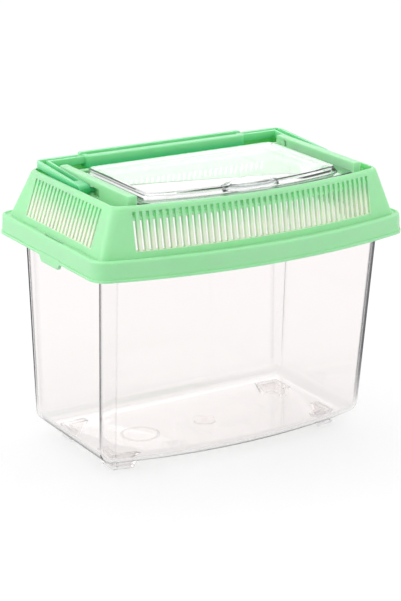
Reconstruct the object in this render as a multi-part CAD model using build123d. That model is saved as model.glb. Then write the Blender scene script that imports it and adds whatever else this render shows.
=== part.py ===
from build123d import *
import os

# A small plastic pet keeper: a clear tub, a green ventilated lid that drops over the
# tub's rim, a clear hatch hinged in the lid and a green carrying handle.
# The origin is on the resting plane, under the middle of the lid. +Z is up, the bowed
# front faces -Y and the long side runs along X. Millimetres.

# ---- driving dimensions ----
HALF_LENGTH = 90.0        # the lid's skirt, centre to end
HALF_DEPTH = 61.5         # the lid's skirt, centre to the front's crown and to the back
FEET_HEIGHT = 6.3         # from the resting plane to the tub's floor
SKIRT_LOW = 109.5         # lower edge of the skirt
LEDGE_TOP = 119.8         # the flat ledge round the hood
RIM_TOP = 143.5           # upper edge of the hood
DECK_TOP = 138.2          # sunken deck inside the rim, which the handle's arms lie over
RAIL_TOP = 147.4          # the two rails beside the hatch
WALL = 1.8                # wall of the lid
TUB_WALL = 1.6            # wall of the tub
HATCH_WALL = 1.5          # wall of the hatch
GAP = 0.3                 # free space between two mouldings
PIN_PLAY = 0.06           # radial play of a pivot pin in its hole


class Outline:
    """Plan outline with straight ends and back, and a front bowed out in one arc."""

    def __init__(self, half, front, bow, back, front_radius, back_radius):
        self.half = half                  # centre to end
        self.front = front                # centre to the front corners
        self.bow = bow                    # rise of the front's arc beyond its corners
        self.back = back                  # centre to the back
        self.front_radius = front_radius  # radius of the two front corners
        self.back_radius = back_radius    # radius of the two back corners

    def inset(self, step):
        return Outline(self.half - step, self.front - step, self.bow, self.back - step,
                       max(self.front_radius - step, 0.8), max(self.back_radius - step, 0.8))

    def towards(self, other, t):
        """The outline a share t of the way to another one."""
        def mix(a, b):
            return a + (b - a) * t
        return Outline(mix(self.half, other.half), mix(self.front, other.front),
                       mix(self.bow, other.bow), mix(self.back, other.back),
                       mix(self.front_radius, other.front_radius),
                       mix(self.back_radius, other.back_radius))

    def face(self, z):
        left = (-self.half, -self.front)
        right = (self.half, -self.front)
        crown = (0, -(self.front + self.bow))
        right_back = (self.half, self.back)
        left_back = (-self.half, self.back)
        loop = ThreePointArc(left, crown, right) + Polyline(right, right_back, left_back, left)
        flat = make_face(loop)
        flat = fillet(flat.vertices().group_by(Axis.Y)[0], self.front_radius)
        flat = fillet(flat.vertices().group_by(Axis.Y)[-1], self.back_radius)
        return Pos(0, 0, z) * flat


def stack(levels):
    """A straight-walled solid through outlines given as (outline, height)."""
    return loft([outline.face(z) for outline, z in levels], ruled=True)


def bar(x, y, z):
    """A box between two x, two y and two z values."""
    size = (x[1] - x[0], y[1] - y[0], z[1] - z[0])
    middle = ((x[0] + x[1]) / 2, (y[0] + y[1]) / 2, (z[0] + z[1]) / 2)
    return Pos(*middle) * Box(*size)


def side_plate(points, x_low, x_high):
    """A plate with a side view given as (y, z) points, between two x values."""
    flat = make_face(Polyline(*points, close=True))
    return Pos(x_low, 0, 0) * extrude(Plane.YZ * flat, amount=x_high - x_low)


def cross_pin(radius, x_low, x_high, y, z):
    """A round pin along X."""
    middle = (x_low + x_high) / 2
    return Pos(middle, y, z) * Rot(0, 90, 0) * Cylinder(radius, x_high - x_low)


# ---- plan outlines ----
SKIRT_BOW = 13.8
SKIRT = Outline(HALF_LENGTH, HALF_DEPTH - SKIRT_BOW, SKIRT_BOW, HALF_DEPTH, 10.0, 8.5)
HOOD_LOW = LEDGE_TOP - WALL
HOOD_BASE = Outline(85.4, 44.4, 11.4, 57.3, 4.2, 4.4)      # at HOOD_LOW
HOOD_RIM = Outline(76.9, 40.9, 10.2, 48.9, 6.0, 6.3)       # at RIM_TOP
TUB_MOUTH = Outline(80.5, 40.1, 12.6, 51.9, 8.2, 7.1)      # at TUB_TOP
TUB_BASE = Outline(76.7, 29.5, 10.6, 49.6, 7.1, 4.6)       # at FEET_HEIGHT

# ---- tub ----
TUB_TOP = LEDGE_TOP - WALL - GAP
FLOOR_RADIUS = 7.6        # round between the walls and the floor
FLOOR = 1.8
FLANGE_THICK = 1.7
FLANGE_LIP = 4.5          # height of the flange's turned-down edge
FLANGE = SKIRT.inset(2.6)

FOOT_TRACK = Outline(66.7, 18.6, 8.4, 36.9, 2.0, 2.0)      # the feet's outer faces
FOOT_WIDTH = 4.6
FOOT_LEG = 10.5           # a foot's length along each side at the resting plane
FOOT_SLANT = 3.9          # a leg is longer by this much where it meets the floor

GATE_RADIUS = 6.1         # round pad in the middle of the floor
RING_CENTRE = (-39.2, 2.8)
RING_RADIUS = 10.2
MARK_RELIEF = 0.5

# ---- lid ----
BEAD = 0.4                # the thicker lower edge of the skirt
BEAD_HEIGHT = 1.4
SKIRT_LEAN = 0.4
EDGE_ROUND = 1.0          # rounding of the ledge's and the rim's outer edges
GROOVE_DEPTH = 0.6        # hollow of the ledge
SLOT_WIDTH = 1.7
SLOT_LOW = 122.4
SLOT_HIGH = 141.0
BACK_SLOT_HIGH = 135.6    # the back wall's slots end under the deck
FRONT_SLOTS = 42
FRONT_PITCH = 3.264
END_SLOTS = 20
END_PITCH = 3.58
END_SLOT_MIDDLE = 3.0
DECK_THICK = 1.6
SEAT_TOP = 141.6          # upstand round the hatch opening, under the hatch's flange
SEAT_WALL = 1.5
SEAT = Outline(58.5, 37.5, 7.6, 21.0, 4.0, 4.0)
RAIL_INNER = 62.6
RAIL_OUTER = 67.3
RAIL_FRONT = -39.3
RAIL_BACK = 32.7
RAIL_WALL = 1.3
TAB_MIDDLE = 1.4          # snap tabs at the two ends
TAB_HALF = 10.9
TAB_DROP = 3.3
TAB_CHAMFER = 2.2
TAB_WINDOW = (85.9, 88.0)

# ---- handle ----
PIVOT_Y = 1.5
PIVOT_Z = 142.1
PIVOT_PIN = 2.0
ARM_INNER = RAIL_OUTER + GAP
ARM_OUTER = 73.6
ARM_ROUND = 2.8           # the arm's rounded end about its pivot
HANDLE_TOP = 147.4
HANDLE_UNDER = RIM_TOP + GAP
HANDLE_BACK = 48.9
HANDLE_FRONT = 42.6       # front face of the cross member
HANDLE_ROUND = 5.0        # its two back corners, seen from above
ARM_GROOVE = (ARM_INNER + 1.1, ARM_OUTER - 1.7)
GROOVE_WIDTH = 2.4
GROOVE_SINK = 2.3
GRIP_HALF = 47.5          # the grip's thicker front
GRIP_FRONT = 40.0
GRIP_TOP = 147.9
GRIP_UNDER = 141.9
RIB_HALF = 48.4           # the raised rib along the grip's back edge
RIB_FRONT = 46.6
RIB_TOP = 148.7
RIB_ROUND = 1.2
SOCKET_FRONT = -9.8       # the window in the rail through which the pin is pushed in
SOCKET_LOW = 139.7
SOCKET_HIGH = 144.2
THROAT = 3.2

# ---- hatch ----
HINGE_Y = 24.6
HINGE_Z = 144.4
HINGE_PIN = 1.5
HINGE_LUG = 2.4
FLANGE_BACK = 22.0
HATCH_FLANGE = Outline(61.9, 40.0, 7.9, FLANGE_BACK, 3.0, 3.0)
HATCH_FOOT = Outline(56.4, 36.4, 7.9, 27.3, 5.0, 5.0)
HATCH_CROWN = Outline(54.9, 34.3, 8.0, 26.6, 4.0, 4.0)
HATCH_LOW = SEAT_TOP + GAP
HATCH_STEP = HATCH_LOW + 1.3
HATCH_TOP = 146.2
LIFT_Y = -40.5            # domed thumb lift at the middle of the front edge
LIFT_Z = RIM_TOP + 0.4
LIFT_SIZE = (16.0, 8.0, 4.7)
LIFT_WALL = 1.3


def tub_levels(step, floor_z, radius):
    """Outlines up the tub's wall, set in by a step, with a rounded lower edge."""
    count = 5
    levels = []
    for k in range(count + 1):
        turn = Vector(1, 0).rotate(Axis.Z, 90 * k / count)
        z = floor_z + radius * (1 - turn.X)
        rise = (z - FEET_HEIGHT) / (TUB_TOP - FEET_HEIGHT)
        outline = TUB_BASE.towards(TUB_MOUTH, rise).inset(step + radius * (1 - turn.Y))
        levels.append((outline, z))
    levels.append((TUB_MOUTH.inset(step), TUB_TOP))
    return levels


def foot_block(inset, low, high):
    """A block over the corner between +X and +Y, its two free sides slanting with height."""
    def plan(z):
        leg = FOOT_LEG + FOOT_SLANT * z / FEET_HEIGHT - inset
        place = Pos(FOOT_TRACK.half - leg, FOOT_TRACK.back - leg, z)
        return place * Rectangle(40, 40, align=(Align.MIN, Align.MIN))
    return loft([plan(low), plan(high)], ruled=True)


def feet(inset, low, high):
    """Four L-shaped feet, the corners of a band that runs along under the tub's sides."""
    outer = FOOT_TRACK.inset(inset)
    inner = FOOT_TRACK.inset(FOOT_WIDTH - inset)
    band = stack([(outer, low), (outer, high)]) - stack([(inner, low - 1), (inner, high + 1)])
    block = foot_block(inset, low, high)
    to_front = Pos(0, FOOT_TRACK.back - FOOT_TRACK.front, 0)
    placed = []
    for side in (block, mirror(block, Plane.YZ)):
        placed.append(band & side)
        placed.append(band & (to_front * mirror(side, Plane.XZ)))
    return placed


def floor_marks():
    """A round pad and a plain ring that stand out a little under the floor."""
    low = FEET_HEIGHT - MARK_RELIEF
    high = FEET_HEIGHT + FLOOR / 2
    middle = (low + high) / 2
    pad = Pos(0, 3.3, middle) * (Cylinder(GATE_RADIUS, high - low)
                                 - Cylinder(GATE_RADIUS - 1.0, high - low))
    dot = Pos(0, 3.3, middle) * Cylinder(1.6, high - low)
    ring = Pos(*RING_CENTRE, middle) * (Cylinder(RING_RADIUS, high - low)
                                        - Cylinder(RING_RADIUS - 1.2, high - low))
    return [pad, dot, ring]


def make_tub():
    body = stack(tub_levels(0, FEET_HEIGHT, FLOOR_RADIUS))
    body += stack([(FLANGE, TUB_TOP - FLANGE_THICK), (FLANGE, TUB_TOP)])
    lip_low = TUB_TOP - FLANGE_LIP
    lip_high = TUB_TOP - FLANGE_THICK
    lip = stack([(FLANGE, lip_low), (FLANGE, lip_high)])
    lip -= stack([(FLANGE.inset(1.2), lip_low - 1), (FLANGE.inset(1.2), lip_high + 1)])
    body += lip
    body += feet(0, 0, FEET_HEIGHT + FLOOR / 2)
    body += floor_marks()
    body -= stack(tub_levels(TUB_WALL, FEET_HEIGHT + FLOOR, FLOOR_RADIUS - TUB_WALL))
    body -= feet(1.3, 1.5, FEET_HEIGHT + FLOOR + 0.5)
    return body


def make_skirt():
    """The skirt with its bead, the hollowed ledge and the opening for the hood."""
    upper = SKIRT.inset(BEAD)
    top = upper.inset(SKIRT_LEAN)
    edge = LEDGE_TOP - EDGE_ROUND
    bead = stack([(SKIRT, SKIRT_LOW), (SKIRT, SKIRT_LOW + BEAD_HEIGHT)])
    shell = stack([(upper, SKIRT_LOW), (top, edge),
                   (top.inset(0.3 * EDGE_ROUND), LEDGE_TOP - 0.3 * EDGE_ROUND),
                   (top.inset(EDGE_ROUND), LEDGE_TOP)])
    inner = SKIRT.inset(BEAD + 1.6)
    hollow = stack([(inner, SKIRT_LOW - 1), (inner.inset(SKIRT_LEAN / 2), LEDGE_TOP - WALL)])
    well = HOOD_BASE.inset(WALL)
    mouth = stack([(well, LEDGE_TOP - 2 * WALL), (well, LEDGE_TOP + 1)])
    groove = stack([(top.inset(2.0), LEDGE_TOP - GROOVE_DEPTH), (top.inset(1.4), LEDGE_TOP + 0.1)])
    return bead + shell - hollow - mouth - groove


def hood_at(z):
    """The hood's outline at a height."""
    return HOOD_BASE.towards(HOOD_RIM, (z - HOOD_LOW) / (RIM_TOP - HOOD_LOW))


def make_hood():
    """The sloping hood with a row of upright slots in every wall."""
    edge = RIM_TOP - EDGE_ROUND
    outer = stack([(HOOD_BASE, HOOD_LOW), (hood_at(edge), edge),
                   (HOOD_RIM.inset(0.25), RIM_TOP - 0.4),
                   (HOOD_RIM.inset(0.8), RIM_TOP)])
    hollow_base = HOOD_BASE.inset(WALL)
    hollow_rim = HOOD_RIM.inset(WALL)
    walls = outer - stack([(hollow_base, HOOD_LOW), (hollow_rim, RIM_TOP)])
    height = (SLOT_LOW, SLOT_HIGH)
    back_height = (SLOT_LOW, BACK_SLOT_HIGH)
    cuts = []
    for k in range(FRONT_SLOTS):
        x = (k - (FRONT_SLOTS - 1) / 2) * FRONT_PITCH
        span = (x - SLOT_WIDTH / 2, x + SLOT_WIDTH / 2)
        cuts.append(bar(span, (-HALF_DEPTH, 0), height))
        cuts.append(bar(span, (0, HALF_DEPTH), back_height))
    for k in range(END_SLOTS):
        y = END_SLOT_MIDDLE + (k - (END_SLOTS - 1) / 2) * END_PITCH
        span = (y - SLOT_WIDTH / 2, y + SLOT_WIDTH / 2)
        cuts.append(bar((-HALF_LENGTH, HALF_LENGTH), span, height))
    return walls - cuts


def make_deck():
    """The sunken deck, and the upstand round the hatch opening."""
    low = DECK_TOP - DECK_THICK
    half_wall = WALL / 2
    deck = stack([(hood_at(low).inset(half_wall), low),
                  (hood_at(DECK_TOP).inset(half_wall), DECK_TOP)])
    seat = stack([(SEAT, low), (SEAT, SEAT_TOP)])
    opening = SEAT.inset(SEAT_WALL)
    return deck + seat - stack([(opening, low - 1), (opening, SEAT_TOP + 1)])


def make_rail():
    """The rail on the +X side, a hollow bar with the sockets of the two hinges."""
    low = DECK_TOP - DECK_THICK
    span = (RAIL_FRONT, RAIL_BACK)
    body = bar((RAIL_INNER, RAIL_OUTER), span, (low, RAIL_TOP))
    outside = body.edges().filter_by(Axis.Z).group_by(Axis.X)[-1]
    body = fillet(outside, 1.2)
    body = fillet(body.faces().sort_by(Axis.Z)[-1].edges(), 0.6)
    return body


def rail_cuts():
    """What is taken out of the +X rail: its inside, the handle's and hatch's sockets."""
    low = DECK_TOP - DECK_THICK - 1
    inside_x = (RAIL_INNER + RAIL_WALL, RAIL_OUTER - RAIL_WALL)
    inside_y = (RAIL_FRONT + RAIL_WALL, RAIL_BACK - RAIL_WALL)
    outer_x = (RAIL_OUTER - 1.5 * RAIL_WALL, RAIL_OUTER + 1)
    window_back = PIVOT_Y - PIVOT_PIN - 1.9
    return [
        bar(inside_x, inside_y, (low, RAIL_TOP - RAIL_WALL)),
        bar(outer_x, (SOCKET_FRONT, window_back), (SOCKET_LOW, SOCKET_HIGH)),
        bar(outer_x, (window_back - 0.1, PIVOT_Y), (PIVOT_Z - THROAT / 2, PIVOT_Z + THROAT / 2)),
        cross_pin(PIVOT_PIN + PIN_PLAY, *outer_x, PIVOT_Y, PIVOT_Z),
        cross_pin(HINGE_PIN + PIN_PLAY, RAIL_INNER - 1, RAIL_INNER + 1.5 * RAIL_WALL,
                  HINGE_Y, HINGE_Z),
    ]


def make_tab():
    """The snap tab that hangs from the skirt at the +X end."""
    low = SKIRT_LOW - TAB_DROP
    high = SKIRT_LOW + 2
    points = [(TAB_MIDDLE - TAB_HALF, SKIRT_LOW), (TAB_MIDDLE - TAB_HALF + TAB_CHAMFER, low),
              (TAB_MIDDLE + TAB_HALF - TAB_CHAMFER, low), (TAB_MIDDLE + TAB_HALF, SKIRT_LOW),
              (TAB_MIDDLE + TAB_HALF, high), (TAB_MIDDLE - TAB_HALF, high)]
    tab = side_plate(points, HALF_LENGTH - 1.9, HALF_LENGTH - 0.2)
    return fillet(tab.edges().filter_by(Axis.X).group_by(Axis.Z)[0], 1.0)


def make_lid():
    body = make_skirt() + make_hood() + make_deck()
    rail = make_rail()
    tab = make_tab()
    body += [rail, mirror(rail, Plane.YZ), tab, mirror(tab, Plane.YZ)]
    window_y = (TAB_MIDDLE - TAB_HALF + 0.5, TAB_MIDDLE + TAB_HALF - 0.5)
    cuts = rail_cuts()
    cuts.append(bar(TAB_WINDOW, window_y, (LEDGE_TOP - WALL - 1, LEDGE_TOP + 1)))
    return body - cuts - [mirror(cut, Plane.YZ) for cut in cuts]


def make_arm():
    """One arm of the handle on the +X side, with its pivot pin, lying back in its well."""
    points = [(PIVOT_Y, PIVOT_Z + ARM_ROUND), (HANDLE_FRONT, HANDLE_TOP),
              (HANDLE_BACK, HANDLE_TOP), (HANDLE_BACK, HANDLE_UNDER),
              (HANDLE_FRONT - 6, HANDLE_UNDER), (PIVOT_Y, PIVOT_Z - ARM_ROUND)]
    arm = side_plate(points, ARM_INNER, ARM_OUTER)
    arm += cross_pin(ARM_ROUND, ARM_INNER, ARM_OUTER, PIVOT_Y, PIVOT_Z)
    pin_end = RAIL_INNER + RAIL_WALL + GAP
    return arm + cross_pin(PIVOT_PIN, pin_end, ARM_INNER + 1, PIVOT_Y, PIVOT_Z)


def handle_grooves():
    """The groove along the top of the +X arm and its turn into the cross member."""
    near = PIVOT_Y + 6
    rise = (HANDLE_TOP - PIVOT_Z - ARM_ROUND) / (HANDLE_FRONT - PIVOT_Y)
    near_top = PIVOT_Z + ARM_ROUND + rise * (near - PIVOT_Y)
    floor = HANDLE_TOP - GROOVE_SINK
    points = [(near, near_top - 0.6), (near + 3, near_top - GROOVE_SINK),
              (HANDLE_FRONT, floor), (RIB_FRONT, floor),
              (RIB_FRONT, HANDLE_TOP + 1), (near, HANDLE_TOP + 1)]
    cross = bar((RIB_HALF + 1, ARM_GROOVE[1]), (RIB_FRONT - GROOVE_WIDTH, RIB_FRONT),
                (floor, HANDLE_TOP + 1))
    return side_plate(points, *ARM_GROOVE) + cross


def make_grip():
    """The grip: a thick front that hangs inside the rim, a groove and a raised back rib."""
    notch = HOOD_RIM.back - WALL - GAP
    front = bar((-GRIP_HALF, GRIP_HALF), (GRIP_FRONT, notch), (GRIP_UNDER, GRIP_TOP))
    front = fillet(front.edges().filter_by(Axis.Z).group_by(Axis.Y)[0], 2.5)
    front = fillet(front.faces().sort_by(Axis.Z)[-1].edges(), 0.8)
    rib = bar((-RIB_HALF, RIB_HALF), (RIB_FRONT, HANDLE_BACK), (HANDLE_UNDER, RIB_TOP))
    rib = fillet(rib.edges().filter_by(Axis.Y).group_by(Axis.Z)[-1], RIB_ROUND)
    groove_end = GRIP_HALF - GROOVE_WIDTH
    groove = bar((-groove_end, groove_end), (RIB_FRONT - GROOVE_WIDTH, RIB_FRONT),
                 (HANDLE_TOP - GROOVE_SINK, RIB_TOP))
    return front + rib, groove


def make_handle():
    """The bail handle, lying back with its cross member on the rim."""
    body = bar((-ARM_OUTER, ARM_OUTER), (HANDLE_FRONT, HANDLE_BACK), (HANDLE_UNDER, HANDLE_TOP))
    arm = make_arm()
    body += [arm, mirror(arm, Plane.YZ)]
    body = fillet(body.edges().filter_by(Axis.Z).group_by(Axis.Y)[-1], HANDLE_ROUND)
    grip, grip_groove = make_grip()
    grooves = handle_grooves()
    return body + grip - [grip_groove, grooves, mirror(grooves, Plane.YZ)]


def ellipsoid(size):
    return scale(Sphere(1), by=size)


def make_lift():
    """The domed thumb lift, solid, cut flat just over the rim."""
    dome = Pos(0, LIFT_Y, LIFT_Z) * ellipsoid(LIFT_SIZE)
    reach = 2 * LIFT_SIZE[0]
    return dome & Pos(0, LIFT_Y, LIFT_Z + reach / 2) * Box(reach * 2, reach * 2, reach)


def make_hatch():
    body = stack([(HATCH_FLANGE, HATCH_LOW), (HATCH_FLANGE, HATCH_STEP)])
    body += stack([(HATCH_FOOT, HATCH_LOW), (HATCH_FOOT, HATCH_STEP),
                   (HATCH_CROWN, HATCH_TOP - 0.5), (HATCH_CROWN.inset(0.5), HATCH_TOP)])
    body += make_lift()
    foot_hollow = HATCH_FOOT.inset(HATCH_WALL)
    body -= stack([(foot_hollow, HATCH_LOW - 1), (foot_hollow, HATCH_STEP),
                   (HATCH_CROWN.inset(HATCH_WALL), HATCH_TOP - HATCH_WALL)])
    hollow_size = tuple(value - LIFT_WALL for value in LIFT_SIZE)
    body -= Pos(0, LIFT_Y, LIFT_Z) * ellipsoid(hollow_size)
    for sign in (-1, 1):
        near = sign * (HATCH_CROWN.half - HATCH_WALL)
        lug_end = sign * (RAIL_INNER - GAP)
        pin_end = sign * (RAIL_INNER + RAIL_WALL)
        body += cross_pin(HINGE_LUG, *sorted((near, lug_end)), HINGE_Y, HINGE_Z)
        body += cross_pin(HINGE_PIN, *sorted((near, pin_end)), HINGE_Y, HINGE_Z)
    return body


os.makedirs("parts", exist_ok=True)
export_step(make_tub(), "parts/tub.step")
export_step(make_lid(), "parts/lid.step")
export_step(make_hatch(), "parts/hatch.step")
export_step(make_handle(), "parts/handle.step")
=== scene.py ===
# %% [markdown]
# # Dressing a small pet keeper
#
# The object is a clear plastic tub under a green ventilated lid, with a clear hatch in the
# lid and a folding handle. The solids are already right, so this file is about looks: what
# the plastics are made of, how the clear walls are drawn as thin skins, and how the light
# falls. Everything is in metres, +Z is up and the bowed front faces -Y.

# %% Load the frame
import bpy
import numpy as np
from math import radians, sin, cos
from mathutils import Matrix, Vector


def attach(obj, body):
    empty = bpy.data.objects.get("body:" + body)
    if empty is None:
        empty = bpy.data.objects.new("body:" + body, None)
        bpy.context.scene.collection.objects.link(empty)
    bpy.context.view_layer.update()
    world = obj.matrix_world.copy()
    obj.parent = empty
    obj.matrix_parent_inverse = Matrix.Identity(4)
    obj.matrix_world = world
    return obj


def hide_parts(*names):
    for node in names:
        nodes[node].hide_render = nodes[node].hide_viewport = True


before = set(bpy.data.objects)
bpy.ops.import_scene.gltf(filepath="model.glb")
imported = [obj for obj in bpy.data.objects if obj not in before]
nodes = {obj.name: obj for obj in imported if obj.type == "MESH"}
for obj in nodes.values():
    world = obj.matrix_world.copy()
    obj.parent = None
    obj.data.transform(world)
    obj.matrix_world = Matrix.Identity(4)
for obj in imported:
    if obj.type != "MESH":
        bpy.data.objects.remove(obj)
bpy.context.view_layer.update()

# %% [markdown]
# ## The camera
#
# A product photograph is taken from some way off with a long lens, so that the sides stay
# nearly parallel. The camera looks at a point half way up the keeper, from its front left
# and a little above. One long lens and no shift give the same outline as the photograph.

# %% Place the camera
AZIMUTH, ELEVATION = radians(-30.75), radians(17.72)
DISTANCE = 1.0807
AIM = Vector((0.0003, 0.0073, 0.0719))
LENS, SENSOR = 124.6, 36          # millimetres; the sensor spans the long side
VIEW_END = 50


def direction_to(azimuth, elevation):
    """Unit vector towards an azimuth, counted from the front (-Y) to +X, and an elevation."""
    return Vector((sin(azimuth) * cos(elevation), -cos(azimuth) * cos(elevation),
                   sin(elevation)))


away = direction_to(AZIMUTH, ELEVATION)
camera_data = bpy.data.cameras.new("camera")
camera_data.lens = LENS
camera_data.sensor_width = SENSOR
camera_data.clip_end = VIEW_END
camera = bpy.data.objects.new("camera", camera_data)
camera.location = AIM + away * DISTANCE
camera.rotation_euler = (-away).to_track_quat("-Z", "Y").to_euler()
bpy.context.scene.collection.objects.link(camera)
bpy.context.scene.camera = camera
print("camera at", [round(value, 3) for value in camera.location])

# %% [markdown]
# ## Floor and light
#
# The keeper stands on a white sweep in a white studio. The floor is one large sheet whose
# edge is never in view. It is a little brighter to the eye than the light on it makes it,
# which keeps the ground white and still leaves the shadow under the feet. Three large soft
# boxes, from the left, from the right of the front and from above, make the left side the
# brightest, and a white world fills in the rest. A small bright card behind stands where the
# flat tops mirror it towards the camera, so the clear hatch looks white and the rails pale.

# %% Node helpers
def new_material(name):
    """An empty node material: the material, its tree and its output node."""
    material = bpy.data.materials.new(name)
    material.use_nodes = True
    tree = material.node_tree
    tree.nodes.clear()
    return material, tree, tree.nodes.new("ShaderNodeOutputMaterial")


def compute(tree, operation, *values):
    """The result of a math node; each value is a number or the socket it comes from."""
    node = tree.nodes.new("ShaderNodeMath")
    node.operation = operation
    for socket, value in zip(node.inputs, values):
        if isinstance(value, (int, float)):
            socket.default_value = value
        else:
            tree.links.new(value, socket)
    return node.outputs[0]


def slope(tree, value, start, end):
    """0 where the value is at start, 1 where it is at end, smooth between."""
    node = tree.nodes.new("ShaderNodeMapRange")
    node.interpolation_type = "SMOOTHSTEP"
    tree.links.new(value, node.inputs["Value"])
    node.inputs["From Min"].default_value = start
    node.inputs["From Max"].default_value = end
    return node.outputs["Result"]


def spread(tree, value, low, high):
    """A value between 0 and 1 carried over to the range from low to high."""
    node = tree.nodes.new("ShaderNodeMapRange")
    tree.links.new(value, node.inputs["Value"])
    node.inputs["To Min"].default_value = low
    node.inputs["To Max"].default_value = high
    return node.outputs["Result"]


def mix(tree, factor, first, second):
    """A colour between two, each a triple or the socket it comes from."""
    node = tree.nodes.new("ShaderNodeMix")
    node.data_type = "RGBA"
    tree.links.new(factor, node.inputs["Factor"])
    for socket, value in zip((node.inputs["A"], node.inputs["B"]), (first, second)):
        if isinstance(value, tuple):
            socket.default_value = (*value, 1)
        else:
            tree.links.new(value, socket)
    return node.outputs["Result"]


def object_vector(tree, output):
    """The X, Y and Z sockets of a vector output of the object's coordinates."""
    parts = tree.nodes.new("ShaderNodeSeparateXYZ")
    tree.links.new(tree.nodes.new("ShaderNodeTexCoord").outputs[output], parts.inputs[0])
    return parts.outputs


def attribute(tree, name):
    """The value of a mesh attribute; 0 where a mesh has none."""
    node = tree.nodes.new("ShaderNodeAttribute")
    node.attribute_name = name
    return node.outputs["Fac"]


def seen_mask(tree):
    """1 for rays from the eye, from a gloss or through clear plastic, 0 for light itself."""
    path = tree.nodes.new("ShaderNodeLightPath").outputs
    direct = compute(tree, "MAXIMUM", path["Is Camera Ray"], path["Is Glossy Ray"])
    return compute(tree, "MAXIMUM", direct, path["Is Transmission Ray"])


print("node helpers ready")

# %% The floor
FLOOR_HALF = 8.0
FLOOR_LIT, FLOOR_SEEN, FLOOR_GLOW = (0.82, 0.82, 0.82), (0.42, 0.42, 0.42), 0.58


def make_floor(half):
    """A flat square sheet at height 0 that reaches half a side each way."""
    mesh = bpy.data.meshes.new("floor")
    corners = np.array([[-1, -1, 0], [1, -1, 0], [1, 1, 0], [-1, 1, 0]]) * half
    mesh.from_pydata(corners.tolist(), [], [[0, 1, 2, 3]])
    sheet = bpy.data.objects.new("floor", mesh)
    bpy.context.scene.collection.objects.link(sheet)
    return sheet


floor = make_floor(FLOOR_HALF)
floor_material, tree, output = new_material("floor_white")
seen = seen_mask(tree)
matt = tree.nodes.new("ShaderNodeBsdfDiffuse")
tree.links.new(mix(tree, seen, FLOOR_LIT, FLOOR_SEEN), matt.inputs["Color"])
glow = tree.nodes.new("ShaderNodeEmission")
tree.links.new(compute(tree, "MULTIPLY", seen, FLOOR_GLOW), glow.inputs["Strength"])
both = tree.nodes.new("ShaderNodeAddShader")
tree.links.new(matt.outputs[0], both.inputs[0])
tree.links.new(glow.outputs[0], both.inputs[1])
tree.links.new(both.outputs[0], output.inputs["Surface"])
floor.data.materials.append(floor_material)
print("floor:", 2 * FLOOR_HALF, "m wide")

# %% The world
WORLD_LIT, WORLD_SEEN = 0.80, 1.0

world = bpy.data.worlds.new("studio")
bpy.context.scene.world = world
world.use_nodes = True
tree = world.node_tree
tree.nodes.clear()
sky = tree.nodes.new("ShaderNodeBackground")
sky.inputs["Color"].default_value = (1, 1, 1, 1)
tree.links.new(spread(tree, seen_mask(tree), WORLD_LIT, WORLD_SEEN), sky.inputs["Strength"])
world_output = tree.nodes.new("ShaderNodeOutputWorld")
tree.links.new(sky.outputs[0], world_output.inputs["Surface"])
print("world: lights at", WORLD_LIT, "and is seen at", WORLD_SEEN)

# %% Soft boxes
LIGHT_AIM = Vector((0, 0, 0.09))
SOFT_BOXES = (                    # name, azimuth, elevation, distance, width, height, watts
    ("box_left", -105, 28, 1.6, 1.3, 1.3, 10),
    ("box_right", 50, 25, 1.8, 1.4, 1.4, 5),
    ("box_top", 150, 62, 1.6, 1.2, 1.2, 4),
    ("card_back", 149.25, 13.0, 1.7, 0.6, 0.22, 0.37))


def soft_box(name, azimuth, elevation, distance, width, height, watts):
    """An area light that faces the keeper from the given direction in degrees."""
    direction = direction_to(radians(azimuth), radians(elevation))
    data = bpy.data.lights.new(name, "AREA")
    data.shape = "RECTANGLE"
    data.size = width
    data.size_y = height
    data.energy = watts
    light = bpy.data.objects.new(name, data)
    light.location = LIGHT_AIM + direction * distance
    light.rotation_euler = direction.to_track_quat("Z", "Y").to_euler()
    bpy.context.scene.collection.objects.link(light)


for box in SOFT_BOXES:
    soft_box(*box)
bpy.context.scene.view_settings.view_transform = "Standard"
print("lights:", [box[0] for box in SOFT_BOXES])

# %% [markdown]
# ## Green plastic
#
# The lid and the handle are moulded in a soft, slightly see-through green plastic. Light goes
# a little way in, so shaded corners turn a stronger green instead of grey, and the satin skin
# gives pale edges. A base colour with slight streaks, some light scattered under the skin and
# a fine grain in the roughness and the height say most of that. A painted glow of backlight on
# the thin bars of the lid and a painted shade low in the handle's well, both in the base colour,
# say the rest.

# %% Shared effects
SCRATCH_TURN, SCRATCH_SCALE = (0.3, 0.5, 0.7), (900, 14, 60)
SCRATCH_LEVELS = 0.69, 0.74       # only the peaks of the noise between these are scratches


def noise(group, vector, detail):
    """A noise texture on a vector; more detail adds finer octaves."""
    node = group.nodes.new("ShaderNodeTexNoise")
    node.inputs["Detail"].default_value = detail
    group.links.new(vector, node.inputs["Vector"])
    return node


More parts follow.
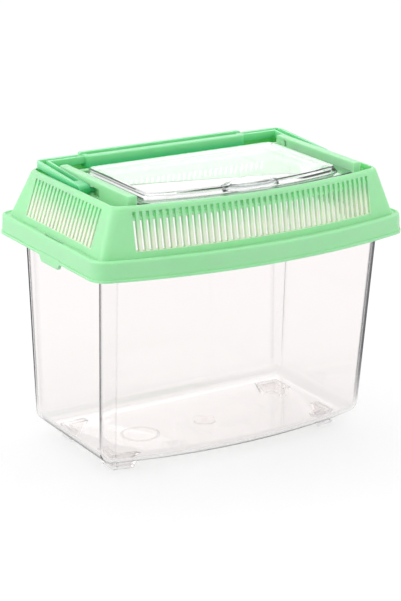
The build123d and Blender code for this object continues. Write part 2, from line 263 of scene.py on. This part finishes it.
def make_moulded_skin():
    """Node group: slow flow streaks, fine grain and tiny scratches of a moulded surface."""
    group = bpy.data.node_groups.new("moulded_skin", "ShaderNodeTree")
    for direction, titles in (("INPUT", ("Streak Scale", "Grain Scale")),
                              ("OUTPUT", ("Streaks", "Grain", "Scratches"))):
        for title in titles:
            group.interface.new_socket(title, in_out=direction, socket_type="NodeSocketFloat")
    start = group.nodes.new("NodeGroupInput")
    end = group.nodes.new("NodeGroupOutput")
    place = group.nodes.new("ShaderNodeTexCoord").outputs["Object"]
    stretch = group.nodes.new("ShaderNodeMapping")
    stretch.inputs["Rotation"].default_value = SCRATCH_TURN
    stretch.inputs["Scale"].default_value = SCRATCH_SCALE
    group.links.new(place, stretch.inputs["Vector"])
    streaks = noise(group, place, 3)
    streaks.inputs["Distortion"].default_value = 1.2
    grain = noise(group, place, 2)
    scratches = noise(group, stretch.outputs["Vector"], 1)
    scratches.inputs["Scale"].default_value = 1
    thin = group.nodes.new("ShaderNodeMapRange")
    thin.inputs["From Min"].default_value, thin.inputs["From Max"].default_value = SCRATCH_LEVELS
    link = group.links.new
    link(start.outputs["Streak Scale"], streaks.inputs["Scale"])
    link(start.outputs["Grain Scale"], grain.inputs["Scale"])
    link(scratches.outputs["Fac"], thin.inputs["Value"])
    link(streaks.outputs["Fac"], end.inputs["Streaks"])
    link(grain.outputs["Fac"], end.inputs["Grain"])
    link(thin.outputs["Result"], end.inputs["Scratches"])
    return group


moulded_skin = make_moulded_skin()


def skin_of(tree, streak_scale, grain_scale):
    """The outputs of the moulded skin at two scales."""
    node = tree.nodes.new("ShaderNodeGroup")
    node.node_tree = moulded_skin
    node.inputs["Streak Scale"].default_value = streak_scale
    node.inputs["Grain Scale"].default_value = grain_scale
    return node.outputs


print("group:", moulded_skin.name)

# %% Green material
# Each pair says where a mask starts and where it is full, in metres.
# BAR_FOOT, BAR_TOP and the FRONT_ and SIDE_ pairs place the painted glow of backlight on the
# lid's bars.
BAR_FOOT, BAR_TOP = (0.1219, 0.1226), (0.1400, 0.1260)
FRONT_WALL, FRONT_END = (-0.038, -0.040), (0.0684, 0.0674)
SIDE_WALL, SIDE_END, SIDE_MIDDLE = (0.0745, 0.0755), (0.0355, 0.0345), 0.003
# Heights where the painted shade low in the handle's well starts and where it is full.
WELL_SHADE = 0.1472, 0.1425
GREEN_SKIN = 16, 1800
ROUGH_LESS, ROUGH_MORE = 0.05, 0.09
GRAIN_STRENGTH, GRAIN_DEPTH = 0.12, 0.00006
SCATTER_WEIGHT, SCATTER_RADIUS, SCATTER_SCALE = 0.75, (0.4, 1.0, 0.5), 0.004
PLASTIC_IOR = 1.5


def backlit_bars(tree):
    """1 where the painted glow of backlight goes: on the thin bars between the slots of the
    hood, growing from their tops downwards.

    It is height mask times the larger of two field masks: one on the front wall as far as
    |x| allows, one on the end walls as far as |y - SIDE_MIDDLE| allows.
    """
    x, y, z = object_vector(tree, "Object")
    across = compute(tree, "ABSOLUTE", x)
    along = compute(tree, "ABSOLUTE", compute(tree, "SUBTRACT", y, SIDE_MIDDLE))
    height = compute(tree, "MULTIPLY", slope(tree, z, *BAR_FOOT), slope(tree, z, *BAR_TOP))
    front = compute(tree, "MULTIPLY", slope(tree, across, *FRONT_END),
                    slope(tree, y, *FRONT_WALL))
    side = compute(tree, "MULTIPLY", slope(tree, along, *SIDE_END),
                   slope(tree, across, *SIDE_WALL))
    return compute(tree, "MULTIPLY", height, compute(tree, "MAXIMUM", front, side))


def green_plastic(name, base, deep, roughness, bars=None, foot=None):
    """Satin green plastic: base and deep are the two ends of its slight streaks.

    Where it is thin and lit from behind, as in the bars of the lid, it takes the bars colour, a
    painted glow of backlight.
    Low down in the well, where light comes only through the plastic, it takes the foot colour, a
    painted shade.
    """
    material, tree, output = new_material(name)
    link = tree.links.new
    skin = skin_of(tree, *GREEN_SKIN)
    colour = mix(tree, skin["Streaks"], base, deep)
    # Painted glow of backlight on the thin bars of the lid.
    if bars:
        colour = mix(tree, backlit_bars(tree), colour, bars)
    # Painted shade: a stronger green low in the well.
    if foot:
        height = object_vector(tree, "Object")["Z"]
        colour = mix(tree, slope(tree, height, *WELL_SHADE), colour, foot)
    shine = spread(tree, skin["Grain"], roughness - ROUGH_LESS, roughness + ROUGH_MORE)
    bump = tree.nodes.new("ShaderNodeBump")
    bump.inputs["Strength"].default_value = GRAIN_STRENGTH
    bump.inputs["Distance"].default_value = GRAIN_DEPTH
    link(skin["Grain"], bump.inputs["Height"])
    plastic = tree.nodes.new("ShaderNodeBsdfPrincipled")
    plastic.inputs["Subsurface Weight"].default_value = SCATTER_WEIGHT
    plastic.inputs["Subsurface Radius"].default_value = SCATTER_RADIUS
    plastic.inputs["Subsurface Scale"].default_value = SCATTER_SCALE
    plastic.inputs["IOR"].default_value = PLASTIC_IOR
    link(colour, plastic.inputs["Base Color"])
    link(shine, plastic.inputs["Roughness"])
    link(bump.outputs["Normal"], plastic.inputs["Normal"])
    link(plastic.outputs[0], output.inputs["Surface"])
    return material


def dress(node, material):
    """Gives every material slot of a CAD node the one material."""
    slots = nodes[node].data.materials
    for index in range(len(slots)):
        slots[index] = material
    if not len(slots):
        slots.append(material)


# The lid's bars colour is a painted glow of backlight.
lid_green = green_plastic("lid_green_satin", base=(0.40, 0.82, 0.45), deep=(0.35, 0.77, 0.40),
                          roughness=0.33, bars=(0.80, 0.96, 0.69))
# The handle's foot colour is a painted shade low in its well.
handle_green = green_plastic("handle_green_satin", base=(0.32, 0.76, 0.42),
                             deep=(0.27, 0.71, 0.37), roughness=0.30, foot=(0.08, 0.60, 0.25))
dress("lid", lid_green)
dress("handle", handle_green)
print("dressed: lid in", lid_green.name, "and handle in", handle_green.name)

# %% [markdown]
# ## Clear plastic
#
# The tub and the hatch are a clear, stiff plastic. A wall of it hardly shows where it is seen
# face on. It turns grey where it is seen edge on and at each bend, because there the light
# runs along inside it and comes from something darker. In a white room glass alone finds
# nothing dark to show, so that grey is painted: the shader is plain glass with the index of
# the plastic, a colour that darkens as a painted dark reflection, and a little dark diffuse
# mixed in as more of the same painted dark reflection. Two attributes of the mesh steer this
# painting. "corner" says where a steep wall may darken as it turns away from the eye, and
# "bend" paints the fine grey lines along bends and edges, so that they stay on the tub from
# every side. Shadow rays pass nearly straight through, as light does through thin clear walls.

# %% Clear material
CLEAR_SKIN, CLEAR_ROUGHNESS = (9, 300), (0.01, 0.14)
# Painted dark reflection on steep walls: the facing values where it starts and where it is full.
TURNED_AWAY = 0.32, 0.60          # the facing values where a wall starts to darken and is dark
# Painted dark reflection: a dark diffuse colour, its share on steep walls, and the bend value
# past which more is added along the lines.
DARK_REFLECTION, DARK_REFLECTION_SHARE, DARK_REFLECTION_START = (0.06, 0.06, 0.07, 1), 0.95, 0.4
SHADOW_PASS = (0.97, 0.97, 0.97, 1)


def clear_plastic(name, tint, painted_edge, bend):
    """Clear plastic: tint seen face on, painted_edge seen at a grazing angle, bend where the
    mesh is marked.

    The painted_edge and bend colours are painted dark reflections, not colours of the plastic.
    painted_edge_mask is the facing mask times 1 - |normal z| times the corner attribute. The
    share of the painted dark reflection is DARK_REFLECTION_SHARE painted_edge_mask, and more
    where the bend attribute passes DARK_REFLECTION_START.
    """
    material, tree, output = new_material(name)
    link = tree.links.new
    facing = tree.nodes.new("ShaderNodeLayerWeight").outputs["Facing"]
    tilt = compute(tree, "ABSOLUTE", object_vector(tree, "Normal")["Z"])
    upright = compute(tree, "SUBTRACT", 1.0, tilt)
    # Painted dark reflection on steep walls as they turn away from the eye, where the corner
    # attribute allows.
    painted_edge_mask = compute(tree, "MULTIPLY", slope(tree, facing, *TURNED_AWAY), upright)
    painted_edge_mask = compute(tree, "MULTIPLY", painted_edge_mask, attribute(tree, "corner"))
    # The colour darkens towards painted_edge on steep walls and towards bend along the lines:
    # painted dark reflection.
    line = attribute(tree, "bend")
    colour = mix(tree, line, mix(tree, painted_edge_mask, tint, painted_edge), bend)
    extra = compute(tree, "MAXIMUM", compute(tree, "SUBTRACT", line, DARK_REFLECTION_START), 0.0)
    share = compute(tree, "ADD", compute(tree, "MULTIPLY", painted_edge_mask, DARK_REFLECTION_SHARE), extra)

    plastic = tree.nodes.new("ShaderNodeBsdfPrincipled")
    plastic.inputs["Transmission Weight"].default_value = 1
    plastic.inputs["IOR"].default_value = PLASTIC_IOR
    link(colour, plastic.inputs["Base Color"])
    scratches = skin_of(tree, *CLEAR_SKIN)["Scratches"]
    link(spread(tree, scratches, *CLEAR_ROUGHNESS), plastic.inputs["Roughness"])
    # A dark diffuse mixed in by the share: more painted dark reflection.
    dark_reflection = tree.nodes.new("ShaderNodeBsdfDiffuse")
    dark_reflection.inputs["Color"].default_value = DARK_REFLECTION
    body = tree.nodes.new("ShaderNodeMixShader")
    link(share, body.inputs["Fac"])
    link(plastic.outputs[0], body.inputs[1])
    link(dark_reflection.outputs[0], body.inputs[2])
    through = tree.nodes.new("ShaderNodeBsdfTransparent")
    through.inputs["Color"].default_value = SHADOW_PASS
    choice = tree.nodes.new("ShaderNodeMixShader")
    link(tree.nodes.new("ShaderNodeLightPath").outputs["Is Shadow Ray"], choice.inputs["Fac"])
    link(body.outputs[0], choice.inputs[1])
    link(through.outputs[0], choice.inputs[2])
    link(choice.outputs[0], output.inputs["Surface"])
    return material


# The painted_edge and bend colours are painted dark reflections, grey on the tub and teal on the
# hatch; the tints are the faint colour of each plastic.
tub_clear = clear_plastic("tub_clear_gloss", tint=(0.970, 0.949, 0.945),
                          painted_edge=(0.40, 0.39, 0.40), bend=(0.30, 0.30, 0.31))
hatch_clear = clear_plastic("hatch_clear_gloss", tint=(0.99, 0.99, 0.99),
                            painted_edge=(0.35, 0.47, 0.46), bend=(0.30, 0.42, 0.41))
print("clear materials:", tub_clear.name, hatch_clear.name)

# %% [markdown]
# ## The tub
#
# The tub is one thin shell. Its plan has straight ends and back and a front bowed out in an
# arc, and it grows evenly from the floor to the mouth. So every level is the same closed line
# with other numbers, and the shell is those lines stacked: up the outside, over the rim's
# turned-down flange and down the inside. A smooth round joins wall and floor.

# %% A plan and its line
MM = 0.001
# The shares along the half front, a corner and a side at which points are set. They crowd at
# the ends of each, where the line starts to turn.
ARC_STEPS = np.concatenate([np.linspace(0, 0.985, 26), [0.993, 1.0]])
TURN_STEPS = np.concatenate([[0, 0.06], np.linspace(0.14, 0.86, 8), [0.94, 1.0]])
SIDE_STEPS = np.concatenate([[0, 0.008], np.linspace(0.03, 0.97, 7), [0.992, 1.0]])
LEAST_RADIUS = 1.0


def plan(half, front, bow, back, front_radius, back_radius):
    """The six numbers of a plan in millimetres."""
    return np.array([half, front, bow, back, front_radius, back_radius], float)


def inset(shape, step):
    """The plan moved in by a step; its corners keep at least LEAST_RADIUS."""
    moved = shape - np.array([step, step, 0, step, step, step])
    moved[4:] = np.maximum(moved[4:], LEAST_RADIUS)
    return moved


def ring(shape, z):
    """Points once round a plan at height z, counter-clockwise from the crown of the front.

    The front is an arc of radius (half^2 + bow^2) / (2 bow). A front corner is a circle that
    touches this arc from inside and the straight end; a back corner touches end and back.
    """
    half, front, bow, back, front_radius, back_radius = shape
    big = (half ** 2 + bow ** 2) / (2 * bow)
    centre = big - front - bow
    x = half - front_radius
    y = centre - np.sqrt((big - front_radius) ** 2 - x ** 2)
    lean = np.arctan2(x, centre - y)
    arc = lean * ARC_STEPS
    turn = lean - np.pi / 2 + (np.pi / 2 - lean) * TURN_STEPS[1:]
    side = y + (back - back_radius - y) * SIDE_STEPS[1:]
    corner = np.pi / 2 * TURN_STEPS[1:]
    rest = (half - back_radius) * (1 - ARC_STEPS[1:])
    right = np.concatenate([
        np.stack([big * np.sin(arc), centre - big * np.cos(arc)], 1),
        np.stack([x + front_radius * np.cos(turn), y + front_radius * np.sin(turn)], 1),
        np.stack([np.full_like(side, half), side], 1),
        np.stack([half - back_radius + back_radius * np.cos(corner),
                  back - back_radius + back_radius * np.sin(corner)], 1),
        np.stack([rest, np.full_like(rest, back)], 1)])
    left = right[-2:0:-1] * [-1, 1]
    line = np.concatenate([right, left])
    return np.column_stack([line, np.full(len(line), z)]) * MM


def corner_marks(flat, front, turn, end):
    """Marks once round a plan, one for each point of its ring.

    They are flat on its sides and turn in the corners, with front and end where a front
    corner leaves the bowed front and reaches the straight end.
    """
    arc, bend, side = len(ARC_STEPS), len(TURN_STEPS) - 1, len(SIDE_STEPS) - 1
    marks = np.full(arc + bend + side + bend + arc - 1, float(flat))
    for start, first, last in ((arc - 1, front, end), (arc - 1 + bend + side, front, front)):
        marks[start:start + bend + 1] = turn
        marks[[start, start + bend]] = first, last
    return np.concatenate([marks, marks[-2:0:-1]])


print("points round a plan:", len(corner_marks(flat=0, front=0, turn=0, end=0)))

# %% A shell from stacked rings
SHARP_ANGLE = radians(35)


def shell(name, rings, marks, capped=True, corners=0.0):
    """A closed surface through stacked rings, with its marks and corners as attributes: the
    strengths of its painted grey lines and of its painted darkening.

    rings is an array (levels, points, 3), and each level joins the next. With capped, the
    first and the last are closed by a flat face, shaded flat so that light does not stray in
    it. Without, the last joins the first, for a stack that runs back to its start. Seen from
    above the rings run counter-clockwise, so a rising level faces outwards.
    """
    levels, count = rings.shape[:2]
    across = np.arange(count)
    after = (across + 1) % count
    level = np.arange(levels - 1 if capped else levels)[:, None]
    low, high = level * count, (level + 1) % levels * count
    faces = np.stack([low + across, low + after, high + after, high + across], 2)
    faces = faces.reshape(-1, 4).tolist()
    smooth = [True] * len(faces)
    if capped:
        faces += [across[::-1].tolist(), ((levels - 1) * count + across).tolist()]
        smooth += [False, False]
    mesh = bpy.data.meshes.new(name)
    mesh.from_pydata(rings.reshape(-1, 3).tolist(), [], faces)
    mesh.polygons.foreach_set("use_smooth", smooth)
    mesh.set_sharp_from_angle(angle=SHARP_ANGLE)
    for title, values in (("bend", marks), ("corner", corners)):
        layer = mesh.attributes.new(title, "FLOAT", "POINT")
        values = np.broadcast_to(values, (levels, count))
        layer.data.foreach_set("value", values.ravel().astype("f"))
    mesh.update()
    piece = bpy.data.objects.new(name, mesh)
    bpy.context.scene.collection.objects.link(piece)
    return piece


def clear_part(piece, node, body, material):
    """Puts a finished clear piece in the place of its CAD node."""
    piece.data.materials.append(material)
    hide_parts(node)
    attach(piece, body)
    print(piece.name, len(piece.data.polygons), "faces")


# %% The tub's shell
FLOOR_LOW, FLOOR_HIGH = 6.3, 8.1
FLOOR_ROUND, ROUND_LEVELS = 7.6, 12
TUB_WALL, TUB_TOP, WALL_START, WALL_LEVELS = 1.6, 117.7, 18, 8
RIM_THICK, RIM_DROP, RIM_WALL = 1.7, 4.5, 1.2
TUB_MOUTH = plan(80.5, 40.1, 12.6, 51.9, 8.2, 7.1)
TUB_BASE = plan(76.7, 29.5, 10.6, 49.6, 7.1, 4.6)
RIM_PLAN = plan(87.4, 45.1, 13.8, 58.9, 7.4, 5.9)


def wall_plan(z, step):
    """The tub's plan at a height, moved in by a step."""
    rise = (z - FLOOR_LOW) / (TUB_TOP - FLOOR_LOW)
    return inset(TUB_BASE + (TUB_MOUTH - TUB_BASE) * rise, step)


def round_levels(step, floor_z, radius):
    """Rings from the floor up to the wall: the step in is radius (1 - sin t), the rise
    radius (1 - cos t), for t from 0 to a quarter turn."""
    t = np.linspace(0, np.pi / 2, ROUND_LEVELS)
    z = floor_z + radius * (1 - np.cos(t))
    return [ring(wall_plan(height, step + radius * (1 - sine)), height)
            for height, sine in zip(z, np.sin(t))]


def wall_levels(step, top):
    """Rings up the wall, from where the round has ended to a top height."""
    return [ring(wall_plan(z, step), z) for z in np.linspace(WALL_START, top, WALL_LEVELS)]


outside = round_levels(0, FLOOR_LOW, FLOOR_ROUND) + wall_levels(0, TUB_TOP - RIM_THICK)
rim_inner = inset(RIM_PLAN, RIM_WALL)
rim = [ring(rim_inner, TUB_TOP - RIM_THICK), ring(rim_inner, TUB_TOP - RIM_DROP),
       ring(RIM_PLAN, TUB_TOP - RIM_DROP), ring(RIM_PLAN, TUB_TOP)]
inside = round_levels(TUB_WALL, FLOOR_HIGH, FLOOR_ROUND - TUB_WALL)
inside += wall_levels(TUB_WALL, TUB_TOP)
rings = np.array(outside + rim + inside[::-1])
print("levels of the tub:", len(rings))

# %% Its painted lines and darkening
# Painted grey lines, a painted dark reflection, run up the corners at half strength in the
# round, where a soft painted band takes over. The painted darkening of the corners starts faint
# at the floor and is full on the wall.
marks = np.tile(corner_marks(flat=0, front=0.22, turn=0.03, end=0.28), (len(rings), 1))
soft_round = 0.02 + 0.10 * np.sin(np.linspace(0, np.pi, ROUND_LEVELS)) ** 2
marks[:ROUND_LEVELS] = np.maximum(marks[:ROUND_LEVELS] * 0.5, soft_round[:, None])
marks[-ROUND_LEVELS:] = np.maximum(marks[-ROUND_LEVELS:] * 0.5, soft_round[::-1, None])
corners = np.tile(corner_marks(flat=0, front=1, turn=1, end=1), (len(rings), 1))
fade = np.array([0.08] * ROUND_LEVELS + [0.35, 0.85])
corners[:len(fade)] *= fade[:, None]
corners[-len(fade):] *= fade[::-1, None]
tub_shell = shell("tub_shell", rings, marks, corners=corners)
clear_part(tub_shell, "tub", "tub", tub_clear)

# %% [markdown]
# ## Feet, pad and ring
#
# Under the floor stand four hollow L-shaped feet, whose outer faces follow the tub's sides.
# A round pad marks where the plastic was let into the mould, and a thin ring is raised beside
# it. Each is a small closed shell of its own, a hair below the floor, so that its edges show
# through the clear floor as fine grey lines, which its marks paint on as a painted dark
# reflection.

# %% Four feet
FOOT_PLAN = plan(66.7, 18.6, 8.4, 36.9, 2.0, 2.0)
FOOT_WIDTH, FOOT_LEG, FOOT_SLANT = 4.6, 10.5, 3.9
# A mark is the strength of the painted grey line at that level.
FOOT_LEVELS = (                   # step in, height, mark: up the outside, down the hollow
    (0.3, 0.0, 0.4), (0.0, 0.3, 0.4), (0.0, 0.9, 0.02), (0.0, 5.8, 0.0), (0.0, 6.25, 0.6),
    (0.3, 6.25, 0.0), (1.0, 6.25, 0.0), (1.3, 6.25, 0.6), (1.3, 5.8, 0.0), (1.3, 1.9, 0.0),
    (1.3, 1.5, 0.3))


def foot_ring(step, z, at_front):
    """Six corners of the L at height z, moved in by a step, for the foot on the +X side.

    A leg is FOOT_LEG long at the resting plane and grows by FOOT_SLANT up to the floor. At
    the front the outer face follows y = -(front + bow (1 - (x / half)^2)).
    """
    half, front, bow, back = FOOT_PLAN[:4]
    leg = FOOT_LEG + FOOT_SLANT * z / FLOOR_LOW - step
    width = FOOT_WIDTH - step
    if at_front:
        x = np.array([half - leg, half - step, half - step, half - width, half - width,
                      half - leg])
        bowed = -(front + bow * (1 - (x / half) ** 2))
        y = np.array([bowed[0] + step, bowed[1] + step, leg - front, leg - front,
                      bowed[4] + width, bowed[5] + width])
    else:
        x = np.array([half - width, half - step, half - step, half - leg, half - leg,
                      half - width])
        y = np.array([back - leg, back - leg, back - step, back - step, back - width,
                      back - width])
    return np.column_stack([x, y, np.full(6, z)]) * MM


foot_marks = np.array([mark for step, z, mark in FOOT_LEVELS])[:, None]
for at_front, end_name in ((True, "front"), (False, "back")):
    right = np.array([foot_ring(step, z, at_front) for step, z, mark in FOOT_LEVELS])
    left = right[:, ::-1] * [-1, 1, 1]
    for rings, side_name in ((right, "right"), (left, "left")):
        foot = shell("foot_" + end_name + "_" + side_name, rings, foot_marks)
        clear_part(foot, "tub", "tub", tub_clear)

# %% Pad and ring
TURN_POINTS = 72
PAD_CENTRE, RING_CENTRE = (0, 3.3), (-39.2, 2.8)
# A mark is the strength of the painted grey line at that point of the profile.
PAD_PROFILE = (                   # radius, height, mark
    (1.6, 6.15, 0.1), (1.6, 5.85, 0.2), (1.9, 5.85, 0.2), (2.1, 6.1, 0.08), (5.0, 6.1, 0.08),
    (5.2, 5.8, 0.2), (6.1, 5.8, 0.2), (6.1, 6.28, 0.2))
RING_PROFILE = (9.0, 6.28, 0.2), (9.1, 5.8, 0.3), (10.1, 5.8, 0.3), (10.2, 6.28, 0.2)


def turned(name, profile, centre, capped=True):
    """A profile of (radius, height, mark) carried round an upright axis at (x, y)."""
    angle = np.linspace(0, 2 * np.pi, TURN_POINTS, endpoint=False)
    radius, z, marks = np.array(profile)[:, :, None].transpose(1, 0, 2)
    x = centre[0] + radius * np.sin(angle)
    y = centre[1] - radius * np.cos(angle)
    return shell(name, np.stack([x, y, z + 0 * angle], 2) * MM, marks, capped)


for piece in (turned("floor_pad", PAD_PROFILE, PAD_CENTRE),
              turned("floor_ring", RING_PROFILE, RING_CENTRE, capped=False)):
    clear_part(piece, "tub", "tub", tub_clear)

# %% [markdown]
# ## The hatch
#
# The hatch is a shallow clear tray turned upside down, with a thin flange round its front and
# ends, a domed thumb lift and two pins. The tray is a stack of plans again: down the inside
# and up the outside. The flange is a flat strip carried along the tray's foot, and the lift is
# half an egg with a wall.

# %% The tray
HATCH_LOW, HATCH_STEP, HATCH_TOP, HATCH_WALL = 141.9, 143.2, 146.2, 1.5
HATCH_FLANGE = plan(61.9, 40.0, 7.9, 22.0, 3.0, 3.0)
HATCH_FOOT = plan(56.4, 36.4, 7.9, 27.3, 5.0, 5.0)
HATCH_CROWN = plan(54.9, 34.3, 8.0, 26.6, 4.0, 4.0)
# The strength of the painted darkening of steep walls over the whole tray.
TRAY_EDGE_DARKENING = 0.12

hollow, ceiling = inset(HATCH_FOOT, HATCH_WALL), HATCH_TOP - HATCH_WALL
# A mark is the strength of the painted grey line at that level.
levels = [                        # plan, height, mark
    (inset(HATCH_CROWN, HATCH_WALL + 0.5), ceiling, 0.0),
    (inset(HATCH_CROWN, HATCH_WALL), ceiling - 0.4, 0.3),
    (inset(HATCH_CROWN, HATCH_WALL), ceiling - 0.9, 0.05),
    (hollow, HATCH_STEP, 0.1),
    (hollow, HATCH_LOW + 0.2, 0.1),
    (inset(hollow, -0.2), HATCH_LOW, 0.3),
    (inset(HATCH_FOOT, 0.2), HATCH_LOW, 0.3),
    (HATCH_FOOT, HATCH_LOW + 0.2, 0.1),
    (HATCH_FOOT, HATCH_STEP - 0.2, 0.05),
    (inset(HATCH_FOOT, 0.15), HATCH_STEP, 0.35),
    (inset(HATCH_FOOT, 0.3), HATCH_STEP + 0.4, 0.05),
    (inset(HATCH_CROWN, -0.1), HATCH_TOP - 0.9, 0.05),
    (HATCH_CROWN, HATCH_TOP - 0.5, 0.3),
    (inset(HATCH_CROWN, 0.15), HATCH_TOP - 0.15, 0.6),
    (inset(HATCH_CROWN, 0.5), HATCH_TOP, 0.3),
    (inset(HATCH_CROWN, 0.9), HATCH_TOP, 0.0)]
rings = np.array([ring(shape, z) for shape, z, mark in levels])
marks = np.array([mark for shape, z, mark in levels])[:, None]
tray = shell("hatch_tray", rings, marks, corners=TRAY_EDGE_DARKENING)
clear_part(tray, "hatch", "hatch", hatch_clear)

# %% The flange
FLANGE_LIFT, FLANGE_OVERLAP, FLANGE_BREAK = 0.05, 0.1, 0.2
# Strengths of the painted grey lines at the five points of the flange's section.
FLANGE_MARKS = np.array([0.3, 0.2, 0.2, 0.45, 0.3])

stations = len(ARC_STEPS) + len(TURN_STEPS) - 1 + len(SIDE_STEPS) - 1
keep = np.arange(-(stations - 1), stations)
outer = ring(HATCH_FLANGE, 0)[keep]
inner = ring(inset(HATCH_FOOT, FLANGE_OVERLAP), 0)[keep]
inner[[0, -1], 1] = outer[[0, -1], 1]
inner[:, 1] = np.minimum(inner[:, 1], outer[0, 1])
bottom, top = [0, 0, (HATCH_LOW + FLANGE_LIFT) * MM], [0, 0, HATCH_STEP * MM]
inwards = (inner - outer) / np.linalg.norm(inner - outer, axis=1)[:, None]
strip = np.stack([outer + bottom, inner + bottom, inner + top,
                  outer + inwards * FLANGE_BREAK * MM + top,
                  outer + top - [0, 0, FLANGE_BREAK * MM]], 1)
flange = shell("hatch_flange", strip, FLANGE_MARKS)
clear_part(flange, "hatch", "hatch", hatch_clear)

# %% The thumb lift
LIFT_CENTRE, LIFT_SIZE, LIFT_WALL = (0, -40.5, 143.9), (16.0, 8.0, 4.7), 1.3
LIFT_LEVELS, LIFT_POINTS, LIFT_OPEN = 16, 72, 0.02
# Strengths of the painted grey lines on the lift: faint all over, at its foot, and a band of two
# rings that paints a dark band in the dome.
LIFT_FAINT, LIFT_FOOT, LIFT_LINE = 0.02, 0.5, (0.5, 0.68)


def egg_rings(size, lean):
    """Rings (a cos v sin u, b cos v cos u, c sin v) for the leans v, at the lift's centre."""
    angle = np.linspace(0, 2 * np.pi, LIFT_POINTS, endpoint=False)
    a, b, c = size
    lean = np.asarray(lean)[:, None]
    flat = np.stack([a * np.cos(lean) * np.sin(angle), -b * np.cos(lean) * np.cos(angle),
                     c * np.sin(lean) + 0 * angle], 2)
    return (flat + LIFT_CENTRE) * MM


lean = np.linspace(0, np.pi / 2 - LIFT_OPEN, LIFT_LEVELS)
within = egg_rings([value - LIFT_WALL for value in LIFT_SIZE], lean[::-1])
without = egg_rings(LIFT_SIZE, lean)
marks = np.full(2 * LIFT_LEVELS, LIFT_FAINT)
marks[LIFT_LEVELS] = LIFT_FOOT
marks[LIFT_LEVELS + 4:LIFT_LEVELS + 6] = LIFT_LINE
lift = shell("hatch_lift", np.concatenate([within, without]), marks[:, None])
clear_part(lift, "hatch", "hatch", hatch_clear)

# %% Two pins
PIN_Y, PIN_Z, PIN_POINTS = 24.6, 144.4, 24
PIN_PROFILE = (54.6, 1.5), (64.6, 1.5), (64.8, 1.3)      # distance from the middle, radius

for side, name in ((1, "hatch_pin_right"), (-1, "hatch_pin_left")):
    angle = np.linspace(0, 2 * np.pi, PIN_POINTS, endpoint=False) * side
    rings = [np.column_stack([np.full(PIN_POINTS, side * x), PIN_Y + radius * np.cos(angle),
                              PIN_Z + radius * np.sin(angle)]) for x, radius in PIN_PROFILE]
    pin = shell(name, np.array(rings) * MM, 0.0)
    clear_part(pin, "hatch", "hatch", hatch_clear)
